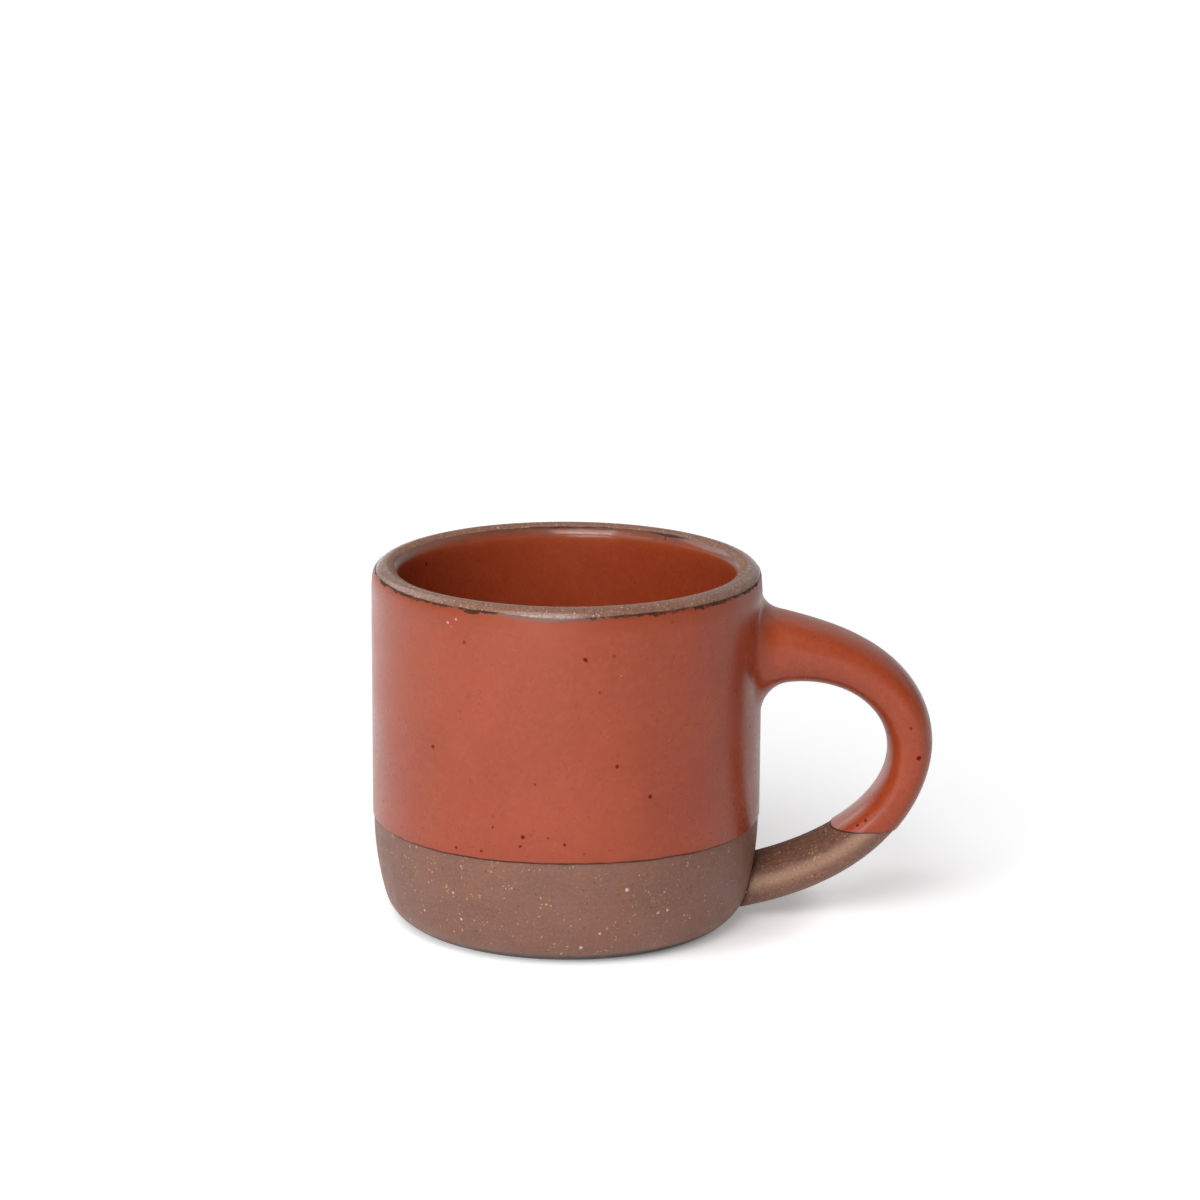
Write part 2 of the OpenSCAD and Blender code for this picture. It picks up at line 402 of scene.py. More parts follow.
# Colours of the clay, of its grains, of its worn places, of a painted highlight on the strap's ridges, of
# painted shade on the heel, and of the slip
PALE, DARK = (0.280, 0.130, 0.0915), (0.231, 0.102, 0.0725)
GOLD, CREAM, WHITE, PIT = (0.73, 0.44, 0.225), (0.74, 0.48, 0.33), (0.80, 0.60, 0.47), (0.060, 0.026, 0.018)
INNER_FACE, RIDGE_HIGHLIGHT, GOLD_DRIFT = (0.122, 0.045, 0.022), (0.57, 0.355, 0.23), (0.300, 0.130, 0.060)
HEEL_SHADE, RIM_GRIT = (0.012, 0.006, 0.004), (0.400, 0.225, 0.136)
SOOT, GLITTER = (0.060, 0.028, 0.018), (0.78, 0.58, 0.42)
SLIP_PALE, SLIP_DARK = (0.115, 0.058, 0.042), (0.070, 0.036, 0.026)
# Heights and radii in millimetres between which the rim is wiped, the heel darkened by painted shade and
# the mouth dull
RIM_WIPED = (CUP_H - 4.0, CUP_H - 2.2)
HEEL_SHADE_Z, HEEL_SHADE_R = (3.0, 1.3), (HEEL_X, HEEL_X + 2)
MOUTH_DULL = (INSIDE_R + RIM_IN + 0.3, INSIDE_R + RIM_IN - 0.5)
# Width in millimetres over which the lining swells towards its upper edge
ROLL_WIDTH = 2.2
GLAZE_IOR, CLAY_IOR = 1.52, 1.5


def dimmed(colour, share):
    return tuple(share * c for c in colour)


def in_metres(*lengths):
    return [length * MM for length in lengths]


def glaze_material(name, tone, warm, deep, near_rim, gloss, roll, fade, line_reach, irons):
    """Satin glaze with mottling, iron specks and brown edges.

    Towards the rim it turns to the colour near_rim, its roughness changes by gloss and it swells by roll
    millimetres. At the rim the clay shows through for fade millimetres, under a brown line whose width
    varies between line_reach's two. A square centimetre has about irons large specks.
    """
    s = Shader(name)
    cloud = s.noise(24, 4, 0.55, 0.4)
    grain = s.noise(1.5, 5, 0.7)
    colour = s.mix(s.span(cloud, 0.34, 0.66, 0.25, 1.0), deep, tone)
    colour = s.mix(s.span(grain, 0.36, 0.70, 0, 0.40), colour, warm)
    rim_gap = s.gap("rim_gap")
    dip_gap = s.gap("dip_gap")
    ragged = s.span(s.noise(3.4, 5, 0.68, 0.6), 0.3, 0.7, -1.0, 1.0, soft=False)
    fall = s.math("ADD", rim_gap, s.math("MULTIPLY", ragged, 1.4))
    colour = s.mix(s.span(fall, 6.0, 0.5, 0, 0.6), colour, near_rim)
    shown = s.math("MULTIPLY_ADD", ragged, 0.3 * fade, rim_gap)
    colour = s.mix(s.span(shown, fade, 0.0, 0, 0.8), colour, CLAY_SHOWN)
    colour = s.mix(s.span(dip_gap, 3.2, 0.4, 0, 0.35), colour, deep)
    # Painted reflection: the strap's inner face is tinted pale towards the dip line, where it would mirror
    # the white floor
    reflected = s.math("MULTIPLY", s.gap("inner"), s.span(dip_gap, 17, 3))
    colour = s.tint(reflected, 0.55, colour, FLOOR_REFLECTION)

    # Specks of iron, more of them towards the dip line
    low = s.span(dip_gap, 16, 3, 0.35, 1.0)
    dust = s.specks(5.0, 0.11, 0.27)
    spots = s.math("MULTIPLY", s.specks(2.6, 0.26, 0.52), low)
    iron = s.math("MAXIMUM", s.specks(irons, 0.34, 0.66), s.marks(IRON_MARKS))
    colour = s.tint(dust, 0.40, colour, IRON_DUST)
    colour = s.tint(spots, 0.80, colour, IRON_SPOT)
    colour = s.tint(iron, 0.97, colour, IRON_SPECK)
    dots = s.math("MAXIMUM", s.specks(0.06, 0.16, 0.30), s.marks(PALE_MARKS))
    colour = s.tint(dots, 0.8, colour, PALE_DOT)

    # Brown lines where the glaze runs thin; the one at the dip line is also a painted shade under the
    # glaze's rolled edge
    reach = s.span(s.noise(5.0, 5, 0.70, 0.8), 0.36, 0.64, *line_reach, soft=False)
    runs = s.span(s.noise(1.3, 3, 0.6), 0.60, 0.74, 0.0, 0.9)
    reach = s.math("ADD", reach, runs)
    thin = s.span(s.math("SUBTRACT", s.gap("line_gap"), reach), 0.36, 0.14)
    patchy = s.span(s.noise(2.4, 4, 0.65), 0.34, 0.58, 0.55, 0.97)
    colour = s.tint(thin, patchy, colour, RIM_LINE)
    # The dip line's dark edge: glaze breaking brown, and partly painted shade under the rolled edge
    edge = s.span(s.math("MULTIPLY_ADD", ragged, 0.10, dip_gap), 0.56, 0.26)
    colour = s.tint(edge, 0.9, colour, DIP_LINE_AND_SHADE)

    rough = s.span(s.noise(9, 4, 0.6), 0.3, 0.7, 0.24, 0.32)
    rough = s.math("MULTIPLY_ADD", s.span(rim_gap, 5.0, 1.5), gloss, rough)
    rough = s.math("MULTIPLY_ADD", s.math("MAXIMUM", thin, edge), 0.55, rough)
    rough = s.math("MULTIPLY_ADD", iron, 0.35, rough)
    normal = s.bump(s.noise(5.5, 2, 0.5), 0.25, 0.10)
    normal = s.bump(s.noise(0.45, 2, 0.5), 0.22, 0.03, normal)
    if roll:
        normal = s.bump(s.span(rim_gap, 0.0, ROLL_WIDTH), 1.0, roll, normal)
    return s.finish(colour, rough, normal, GLAZE_IOR, s.math("MULTIPLY", iron, 0.95))


def clay_material(name, pale, dark, streak, lines_share, gold_share, gloss):
    """Bare stoneware with cream, gold and dark grains, and fine turning or pulling lines.

    The lines come from noise stretched by streak. The roughness lies between gloss's two.
    """
    s = Shader(name)
    colour = s.mix(s.span(s.noise(15, 5, 0.6, 0.5), 0.3, 0.7), dark, pale)
    drift = s.noise(7.5, 3, 0.6, 0.3)
    colour = s.mix(s.span(drift, 0.48, 0.66, 0, 0.5), colour, (pale[0], 0.90 * pale[1], 0.70 * pale[2]))
    lines = s.noise(1.0, 3, 0.6, 0.0, s.stretch(*streak))
    colour = s.mix(s.span(lines, 0.35, 0.65, 0.0, lines_share), colour, dimmed(dark, 0.62))
    tooth = s.noise(0.6, 4, 0.72)
    colour = s.mix(s.span(tooth, 0.44, 0.70, 0.0, 0.55), colour, dimmed(pale, 1.32))

    # Grains of grog: gold ones in drifts, cream ones anywhere, dark ones here and there
    inner, ridge = s.gap("inner"), s.gap("ridge")
    cluster = s.span(s.noise(4.2, 3, 0.6), 0.56, 0.64, gold_share, 1.0)
    # Gold grains also gather along the strap's ridges, as part of the painted highlight there
    cluster = s.math("MAXIMUM", cluster, s.math("MULTIPLY", ridge, 0.6))
    gold = s.math("MULTIPLY", s.specks(100, 0.16, 0.34), cluster)
    cream = s.specks(9, 0.13, 0.32)
    white = s.math("MAXIMUM", s.specks(0.3, 0.24, 0.40), s.marks(GROG_MARKS))
    pits = s.specks(20, 0.13, 0.30)

    # The strap is darker on its inner face, and a painted highlight lies along the ridges beside it
    colour = s.tint(inner, s.span(lines, 0.30, 0.70, 0.55, 1.0), colour, INNER_FACE)
    colour = s.tint(ridge, 0.60, colour, RIDGE_HIGHLIGHT)
    colour = s.tint(cluster, 0.20, colour, GOLD_DRIFT)
    colour = s.tint(gold, 0.92, colour, GOLD)
    colour = s.tint(cream, 0.64, colour, CREAM)
    colour = s.tint(white, 0.92, colour, WHITE)
    colour = s.tint(pits, 0.60, colour, PIT)

    # Painted shade: the heel is darkened just above the floor, where it meets it
    at = s.axes(s.place)
    square = s.math("MULTIPLY_ADD", at["X"], at["X"], s.math("MULTIPLY", at["Y"], at["Y"]))
    radius = s.math("SQRT", square)
    heel = s.math("MULTIPLY", s.span(at["Z"], *in_metres(*HEEL_SHADE_Z)), s.span(radius, *in_metres(*HEEL_SHADE_R)))
    colour = s.tint(heel, 1.0, colour, HEEL_SHADE)

    # The wiped rim glitters with bared grains
    rim = s.span(at["Z"], *in_metres(*RIM_WIPED))
    grit = s.noise(0.8, 4, 0.75)
    colour = s.tint(rim, s.span(grit, 0.40, 0.62, 0.0, 0.40), colour, RIM_GRIT)
    glitter = s.math("MULTIPLY", s.specks(70, 0.10, 0.26), rim)
    soot = s.math("MULTIPLY", s.specks(50, 0.12, 0.32), rim)
    colour = s.tint(soot, 0.65, colour, SOOT)
    colour = s.tint(glitter, 0.68, colour, GLITTER)

    # The rim is smoother than the rest, but not where it turns into the mouth
    rough = s.span(s.noise(3, 4, 0.6), 0.3, 0.7, *gloss)
    rough = s.math("MULTIPLY_ADD", rim, s.span(grit, 0.35, 0.65, -0.26, -0.44), rough)
    mouth = s.span(radius, *in_metres(*MOUTH_DULL))
    rough = s.math("MULTIPLY_ADD", s.math("MULTIPLY", rim, mouth), 0.50, rough)
    rough = s.math("MULTIPLY_ADD", inner, 0.34, rough)
    rough = s.math("MULTIPLY_ADD", ridge, -0.10, rough)
    normal = s.bump(lines, 0.20, 0.05)
    normal = s.bump(tooth, 0.45, 0.06, normal)
    grains = s.math("ADD", s.math("ADD", cream, white), s.math("MULTIPLY", gold, 0.6))
    grains = s.math("SUBTRACT", grains, pits)
    grains = s.math("ADD", grains, s.math("MULTIPLY", s.math("SUBTRACT", glitter, soot), 0.8))
    normal = s.bump(grains, 0.40, 0.08, normal)
    return s.finish(colour, rough, normal, CLAY_IOR)


# Painted shade: the lining is drawn a little darker than the outside, for the shade inside the cup
SHADED_LINING = [dimmed(colour, 0.94) for colour in (TONE, WARM, DEEP)]
GLAZE = glaze_material("satin_glaze", TONE, WARM, DEEP, near_rim=RIM_TONE, gloss=0.09, roll=0, fade=0.9,
                       line_reach=(-0.20, 0.80), irons=0.22)
LINER = glaze_material("satin_liner", *SHADED_LINING, near_rim=SHADED_LINING[1], gloss=-0.08, roll=0.20, fade=3.0,
                       line_reach=(-0.05, 0.38), irons=0.12)
CLAY = clay_material("bare_clay", PALE, DARK, streak=(0.06, 0.06, 1.6), lines_share=0.12, gold_share=0.04,
                     gloss=(0.44, 0.56))
STRAP = clay_material("bare_strap", PALE, DARK, streak=(0.25, 1.5, 0.8), lines_share=0.30, gold_share=0.25,
                      gloss=(0.36, 0.48))
SLIP = clay_material("dark_slip", SLIP_PALE, SLIP_DARK, streak=(0.5, 0.5, 0.5), lines_share=0.2,
                     gold_share=0.0, gloss=(0.50, 0.60))


# The clay cup
# The foot's hollow starts this far out from the ring's inner edge, and slopes over this run, in millimetres
HOLLOW_OUT, HOLLOW_RUN = 0.5, 2.2
# The rim's top was wiped this low on average, over this height, with these random waves
WIPE_DEPTH, WIPE_HEIGHT, WIPE_WAVES = 0.05, 4, (3, 2, 9, 1.0)


def make_cup():
    ring = FOOT_IN + HOLLOW_OUT
    drop = np.linspace(0, 1, 12)
    hollow = np.stack([ring - HOLLOW_RUN + HOLLOW_RUN * drop, FOOT_HOLLOW * (1 - smooth(drop, 0, 1))], 1)
    profile = np.vstack([
        [[CENTRE, FOOT_HOLLOW]],
        line(CENTRE, FOOT_HOLLOW, ring - HOLLOW_RUN, FOOT_HOLLOW, 10),
        hollow,
        line(ring, 0, HEEL_X, 0, 5),
        outside,
        line(CUP_R - RIM_OUT, CUP_H, INSIDE_R + RIM_IN, CUP_H, 2),
        inside[::-1][:-1],
        [[CENTRE, FLOOR_T]]])
    r, z = profile[:, :1], profile[:, 1:]
    # The rim was wiped by hand, so its top dips a little
    lift = smooth(z, CUP_H - WIPE_HEIGHT, CUP_H) * (r > INSIDE_R - 1)
    z = z - lift * WIPE_DEPTH * (1 + waves(ANGLE, *WIPE_WAVES)[None, :])
    return grid("cup_clay", turn(r, z, ANGLE[None, :]), CLAY)


# The coats of glaze on the cup
# Distances of the rows of points from the dip line and from the upper edge, in millimetres
DIP_STEPS = np.array([0, .015, .05, .1, .17, .25, .35, .47, .62, .82, 1.1, 1.5, 2.1, 3.0, 4.2])
RIM_STEPS = np.array([0, .02, .05, .1, .18, .3, .45, .65, .9, 1.2, 1.6, 2.1, 2.7, 3.4, 4.2, 5.2])[::-1]
# Random wavering of the edges: size in millimetres, seed, fewest and most waves a turn, and fade
DIP_WANDER = ((0.06, 11, 2, 7, 1.0), (0.05, 12, 12, 60, 0.5))
RIM_WANDER = ((0.10, 13, 2, 9, 1.0), (0.08, 14, 12, 90, 0.4))
LINER_WANDER = ((0.10, 21, 2, 9, 1.0), (0.09, 22, 12, 90, 0.4))
STRAP_WANDER = ((0.12, 31, 1, 4, 1.0), (0.05, 32, 5, 20, 0.5))
# The dip line hangs lower than in the part, and lower at the sides than in front
DIP_SAG, DIP_BULGES = 0.62, ((0.36, 270, 28), (-0.30, 325, 25))
# The upper edge is tilted, and lower in front
RIM_TILT, RIM_BULGES = 0.36, ((-0.8, 267, 13),)
# The brown line under the rim fades out where the glaze is thicker, and the one at the dip at the sides
LINE_FADES = ((0.9, 267, 14), (0.3, 120, 20), (0.9, 180, 16), (0.7, 0, 14))
DIP_FADES = ((0.5, 192, 20), (0.3, 338, 16))
# In front, more of the clay shows through at the rim
RIM_BARE = ((0.4, 267, 15),)
# The lining's brown line is faint, but shows at the back, with a few runs beside it
LINER_FADE, LINER_LINES = 0.9, ((-0.9, 92, 34), (-1.1, 52, 8))
# Lower edges roll over within EDGE_ROLL, and the wall's has a bead: its share of the coat, place and span
EDGE_ROLL, BEAD, BEAD_AT, BEAD_SPAN = 0.34, 0.09, 0.5, 0.4
# The upper edges end in a lip with a small rounding, and the coats come to their full thickness over a run
LIP_ROLL, WALL_LIP, WALL_RUN, LINER_LIP, LINER_RUN = 0.1, 0.07, 4.5, 0.04, 3.2
# Length from the centre of the floor over which the lining's rows are evenly spaced
LINER_EVEN = 60


def thinned(upper, lip, full, run):
    """Thickness of a coat at a distance from its upper edge, where it thins to a lip."""
    return lip * quarter_round(upper, LIP_ROLL) + (full - lip) * smooth(upper, 0, run)


def make_glaze_wall():
    track = Track(outside)
    low = track.find(DIP_H) - DIP_SAG + bulges(DIP_BULGES) + wander(ANGLE, DIP_WANDER)
    high = track.find(CUP_H - DROP_OUT) - RIM_TILT * np.cos(ANGLE)
    high = high + bulges(RIM_BULGES) + wander(ANGLE, RIM_WANDER)
    mid = np.linspace(0, 1, 34)[1:-1, None]
    bottom = low[None, :] + DIP_STEPS[:, None]
    top = high[None, :] - RIM_STEPS[:, None]
    s = np.vstack([bottom, bottom[-1] * (1 - mid) + top[0] * mid, top])
    lower, upper = s - low, high - s
    bead = 1 + BEAD * np.exp(-((lower - BEAD_AT) / BEAD_SPAN) ** 2)
    rolled = COAT * quarter_round(lower, EDGE_ROLL) * bead
    r, z = track.at(s, np.minimum(rolled, thinned(upper, WALL_LIP, COAT, WALL_RUN)))
    back = np.linspace(1, 0, 12)[:, None]
    s_in = low[None, :] * (1 - back) + high[None, :] * back
    r_in, z_in = track.at(s_in, -UNDER)
    rows = turn(np.vstack([r, r_in]), np.vstack([z, z_in]), ANGLE[None, :])
    gap = np.vstack([upper, high - s_in])
    data = {"rim_gap": gap - bulges(RIM_BARE),
            "line_gap": gap + bulges(LINE_FADES),
            "dip_gap": np.vstack([lower, s_in - low]) + bulges(DIP_FADES)}
    return grid("glaze_wall", rows, GLAZE, loop=True, data=data)


def make_glaze_liner():
    track = Track(inside)
    # The lining ends halfway up the inner rounding of the rim
    top = track.s[-1] - RIM_IN * math.pi / 4 + wander(ANGLE, LINER_WANDER)
    first = np.repeat(np.linspace(CENTRE, LINER_EVEN, 60)[:, None], COLS, 1)
    high = top[None, :] - RIM_STEPS[:, None]
    mid = np.linspace(0, 1, 26)[1:-1, None]
    s = np.vstack([first, first[-1] * (1 - mid) + high[0] * mid, high])
    upper = top - s
    r, z = track.at(s, -thinned(upper, LINER_LIP, LINER_T, LINER_RUN))
    back = np.linspace(1, 0, 60)[:, None]
    s_in = CENTRE * (1 - back) + top[None, :] * back
    r_in, z_in = track.at(s_in, UNDER)
    rows = turn(np.vstack([r, r_in]), np.vstack([z, z_in]), ANGLE[None, :])
    gap = np.vstack([upper, top - s_in])
    data = {"rim_gap": gap,
            "line_gap": gap + LINER_FADE + bulges(LINER_LINES),
            "dip_gap": np.full_like(gap, FAR)}
    # Taken from the clay's side to the mouth's, so that the faces point out of the glaze
    return grid("glaze_liner", rows[::-1], LINER, data={key: v[::-1] for key, v in data.items()})


# The strap
END_X = CUP_R - SINK
UPPER_DIR = np.array([math.cos(math.radians(UPPER_TILT)), math.sin(math.radians(UPPER_TILT))])
LOWER_DIR = BEND_RATIO * np.array([math.cos(math.radians(LOWER_TILT)), math.sin(math.radians(LOWER_TILT))])
# Place along the strap at which its half thickness adds to its reach
BOW_AT = 0.45


def half_t(t):
    """Half the strap's thickness at t along it."""
    t = np.clip(t, 0, 1)
    even = (STRAP_T_TOP + (STRAP_T_LOW - STRAP_T_TOP) * t) / 2
    return even + ROOT_SWELL * (1 - t) ** SWELL_POWER - WAIST * np.exp(-((t - WAIST_AT) / WAIST_SPAN) ** 2)


def half_w(t):
    """Half the strap's width at t along it."""
    t = np.clip(t, 0, 1)
    return (STRAP_W_TOP + (STRAP_W_LOW - STRAP_W_TOP) * t) / 2 + ROOT_FLARE * (1 - t) ** SWELL_POWER


def strap_arm():
    """Length of the path's arms that gives the strap its reach."""
    t = np.linspace(0, 1, 101)
    bow = 3 * t * (1 - t) * ((1 - t) * UPPER_DIR[0] + t * LOWER_DIR[0])
    return (HANDLE_REACH + SINK - half_t(BOW_AT)) / bow.max()


ARM = strap_arm()
P0 = np.array([END_X, CUP_H - HANDLE_DROP])
P3 = np.array([END_X, HANDLE_LOW])
P1, P2 = P0 + ARM * UPPER_DIR, P3 + ARM * LOWER_DIR


def bezier(u, a, b, c, d):
    return (1 - u) ** 3 * a + 3 * u * (1 - u) ** 2 * b + 3 * u * u * (1 - u) * c + u ** 3 * d


def path(t):
    """Point and direction of the strap's middle line in the XZ plane, running on straight past its ends."""
    c = np.clip(t, 0, 1)[..., None]
    p = bezier(c, P0, P1, P2, P3)
    d = 3 * ((1 - c) ** 2 * (P1 - P0) + 2 * c * (1 - c) * (P2 - P1) + c * c * (P3 - P2))
    return p + (t[..., None] - c) * d, unit(d)


# Half width and half thickness for which the points round the strap are evenly spaced
EVEN_W, EVEN_T = 9.3, 5.0


def section_shape():
    """Points evenly spaced round a squared ellipse: shares of its half width and thickness, and angles."""
    q = np.linspace(0, 2 * math.pi, 20001)
    power = 2 / SQUARE_N
    y = np.sign(np.cos(q)) * np.abs(np.cos(q)) ** power
    v = np.sign(np.sin(q)) * np.abs(np.sin(q)) ** power
    length = np.r_[0, np.cumsum(np.hypot(EVEN_W * np.diff(y), EVEN_T * np.diff(v)))]
    even = np.linspace(0, length[-1], SIDES, endpoint=False)
    return np.interp(even, length, y), np.interp(even, length, v), np.interp(even, length, q)


SEC_Y, SEC_V, SEC_Q = section_shape()


def strap(t, grow):
    """Points of the strap's surface at t along it, for each side, moved out by grow."""
    p, d = path(t)
    v = SEC_V * (half_t(t) + grow)
    y = SEC_Y * (half_w(t) + grow)
    return np.stack([p[..., 0] - d[..., 1] * v, y, p[..., 1] + d[..., 0] * v], -1)


def solve(low, high, value):
    """The t of each side at which value(t), negative at low and positive at high, is zero."""
    a, b = np.full(SIDES, low), np.full(SIDES, high)
    for _ in range(50):
        m = (a + b) / 2
        below = value(m) < 0
        a, b = np.where(below, m, a), np.where(below, b, m)
    return (a + b) / 2


def from_wall(p, grow):
    """Distance of points from the outside of the cup, moved out by grow."""
    return np.hypot(p[..., 0], p[..., 1]) - outline_r(p[..., 2], grow)


# Parts of the strap, by t, in which its upper root, its lower end and its dip line are looked for
ROOT_RANGE, LOWER_RANGE, DIP_RANGE = (-0.05, 0.2), (0.8, 1.12), (0.4, 1.0)
# The fillet: its rows, their crowding towards the wall, and its reach on wall and strap in fillet sizes
FILLET_ROWS, FILLET_CROWD, ON_WALL, ON_STRAP = 18, 1.3, 1.05, 1.15
# How far its curve runs on in each surface's own direction, and how far its edge is sunk in the wall
FILLET_PULL, FILLET_SINK = 0.62, 0.05
# Points along the strap from which lengths are measured, and the step in millimetres that gives its heading
FINE_ROWS, HEADING_STEP = 600, 0.3


def strap_lines(grow, ends, rows):
    """Rows of points from the wall through the hollow fillet and along the strap to ends.

    The second result is the length that each point has to go to its end.
    """
    wall_r = CUP_R + grow
    root = solve(*ROOT_RANGE, lambda t: from_wall(strap(t, grow), grow))
    p = strap(root + (ends - root) * np.linspace(0, 1, FINE_ROWS)[:, None], grow)
    length = np.vstack([np.zeros(SIDES), np.cumsum(np.linalg.norm(np.diff(p, axis=0), axis=-1), 0)])
    size = FILLET_UNDER + (FILLET_OVER - FILLET_UNDER) * (1 + np.sin(SEC_Q)) / 2 + GLAZE_T - grow

    def at(s):
        """Points of the strap at the lengths s from the wall, a column for each side."""
        sides = [[np.interp(s[:, k], length[:, k], p[:, k, j]) for j in range(3)] for k in range(SIDES)]
        return np.stack(sides, 0).transpose(2, 0, 1)

    # The line where the strap meets the wall, unrolled, and that line moved out by the fillet
    foot = p[0]
    flat = np.stack([wall_r * np.arctan2(foot[:, 1], foot[:, 0]), foot[:, 2]], 1)
    along = unit(np.roll(flat, -1, 0) - np.roll(flat, 1, 0))
    out = np.stack([along[:, 1], -along[:, 0]], 1)
    out *= np.sign(((flat - flat.mean(0)) * out).sum(1))[:, None]
    edge = flat + out * (size * ON_WALL)[:, None]
    phi = edge[:, 0] / wall_r
    sunk = wall_r - FILLET_SINK
    a = np.stack([sunk * np.cos(phi), sunk * np.sin(phi), edge[:, 1]], 1)
    inward = np.stack([np.sin(phi) * out[:, 0], -np.cos(phi) * out[:, 0], -out[:, 1]], 1)

    begin = size * ON_STRAP
    d = at(begin[None, :])[0]
    heading = unit(at(begin[None, :] + HEADING_STEP)[0] - d)
    b = a + inward * (FILLET_PULL * size)[:, None]
    c = d - heading * (FILLET_PULL * begin)[:, None]
    u = np.linspace(0, 1, FILLET_ROWS)[:, None, None] ** FILLET_CROWD
    fillet = bezier(u, a, b, c, d)
    whole = length[-1]
    s = begin + (whole - begin) * np.linspace(0, 1, rows)[1:, None]
    left = np.vstack([np.repeat(whole[None, :], FILLET_ROWS, 0) - begin * u[..., 0], whole - s])
    return np.concatenate([fillet, at(s)]), left


def cap(loop, radius, shares):
    """Rings from a loop in towards its middle, on the surface whose radius at a height radius(z) gives."""
    phi, z = np.arctan2(loop[:, 1], loop[:, 0]), loop[:, 2]
    rows = []
    for share in shares:
        f, h = phi.mean() + share * (phi - phi.mean()), z.mean() + share * (z - z.mean())
        r = radius(h)
        rows.append(np.stack([r * np.cos(f), r * np.sin(f), h], 1))
    return rows


def even_wall(radius):
    """For cap: the same radius at every height."""
    return lambda z: np.full_like(z, radius)


def cup_wall(grow):
    """For cap: the outside of the cup, moved out by grow."""
    return lambda z: outline_r(z, grow)


# Sizes of the rings of a cap, as shares of its loop
CAP = (0.92, 0.78, 0.62, 0.45, 0.28, 0.12)
# Rows along the clay strap and along its glaze
STRAP_ROWS, STRAP_COAT_ROWS = 170, 150
# Millimetres from the cup: the strap's lower end, its first row at the root and its end face there
SEAM, ROOT_FIRST, ROOT_FACE = 0.45, 0.25, 0.3
# The lower end was wiped round this deep, within this length
SEAM_WIPE, SEAM_WIPE_RUN = 0.30, 0.5
# The upper slip lies inside the fillet, up to a row this far from the wall, and is sunk into the wall
PAD_INSET, PAD_LAST, PAD_SINK = 0.04, 0.9, 0.2
# The lower slip lies inside the strap, and is sunk into the heel
BED_INSET, BED_SINK, BED_ROWS = 0.34, 0.4, 9
# Where the strap's inner face begins, and the middle and width of the ridge beside it, across the strap
INNER_FROM, INNER_TO, RIDGE_AT, RIDGE_SPAN = 0.22, 0.58, -0.10, 0.24
# The same for the face that gets the painted reflection of the floor
REFLECTION_FROM, REFLECTION_TO = 0.74, 0.88
# The strap's dip line lies lower than in the part
STRAP_SAG = 0.35
# Distances from the dip line of the rolled edge's rows, which replace the even rows within EDGE_ROWS
EDGE_STEPS = np.array([1.0, .82, .62, .47, .35, .25, .17, .1, .05, .015, 0])[:, None]
EDGE_ROWS = 1.2


def lower_end(gap, grow):
    """t of each side at which the strap is gap away from the cup at its lower end."""
    return solve(*LOWER_RANGE, lambda t: -from_wall(strap(t, grow), gap))


def first_row_off(lines, gap):
    """Index of the first row that is all further than gap from the upright wall."""
    away = np.hypot(lines[..., 0], lines[..., 1]) - CUP_R
    return int(np.argmax(away.min(1) > gap))


def make_strap_clay():
    lines, left = strap_lines(0.0, lower_end(SEAM, 0.0), STRAP_ROWS)
    # The slip pad keeps the first rows, below its own thickness
    first = first_row_off(lines, ROOT_FIRST)
    body, left = lines[first:], left[first:]
    # The lower end is a little rounded where the seam was wiped
    middle = body.mean(1, keepdims=True)
    pinch = SEAM_WIPE * (1 - quarter_round(left, SEAM_WIPE_RUN))
    body = body - unit(body - middle) * pinch[..., None]
    head = cap(body[0], even_wall(CUP_R + ROOT_FACE), CAP[::-1])
    tail = cap(body[-1], cup_wall(SEAM), CAP)
    rows = np.concatenate([head, body, tail])
    sides = {"inner": smooth(-SEC_V, INNER_FROM, INNER_TO),
             "ridge": np.exp(-((SEC_V - RIDGE_AT) / RIDGE_SPAN) ** 2)}
    data = {key: np.repeat(v[None, :], len(rows), 0) for key, v in sides.items()}
    return grid("strap_clay", rows, STRAP, data=data)


def make_slip_upper():
    lines, _ = strap_lines(-PAD_INSET, lower_end(SEAM, 0.0), STRAP_ROWS)
    body = lines[:first_row_off(lines, PAD_LAST)]
    base = cap(body[0], even_wall(CUP_R - PAD_SINK), (*CAP[::-1], 1.0))
    top = cap(body[-1], even_wall(CUP_R + SLIP_T), CAP)
    return grid("slip_upper", np.concatenate([base, body, top]), SLIP)


def make_slip_lower():
    gaps = np.linspace(SLIP_T, -BED_SINK, BED_ROWS)
    rows = [strap(lower_end(gap, -BED_INSET), -BED_INSET) for gap in gaps]
    head = cap(rows[0], cup_wall(SLIP_T), CAP[::-1])
    tail = cap(rows[-1], cup_wall(-BED_SINK), CAP)
    return grid("slip_lower", np.concatenate([head, rows, tail]), SLIP)


